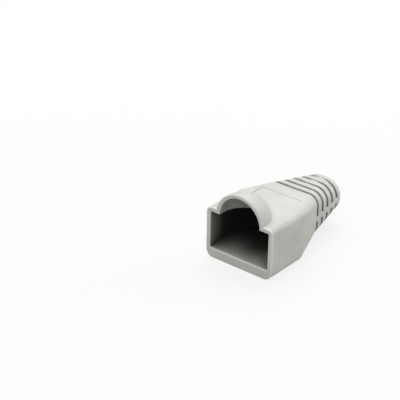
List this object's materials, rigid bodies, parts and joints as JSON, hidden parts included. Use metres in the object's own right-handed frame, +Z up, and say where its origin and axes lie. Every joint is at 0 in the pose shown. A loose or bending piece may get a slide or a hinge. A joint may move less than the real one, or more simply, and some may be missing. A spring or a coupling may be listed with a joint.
{
  "type": "rj45 strain relief boot",
  "caption": "Moulded soft boot for a patch cord plug: a square open sleeve with a half dome hood for the latch and a slotted tail that the cord leaves through.",
  "frame": {"origin": "centre of the cable exit, on the tail's end face", "axes": "+Y along the cable axis, the way the cord leaves the tail; +Z up, towards the side with the hood; the sleeve opens towards -Y"},
  "size_m": [0.0136, 0.0245, 0.0134],
  "materials": {
    "soft_pvc": "satin"
  },
  "bodies": {
    "root": {"boot": "soft_pvc"}
  },
  "joints": []
}
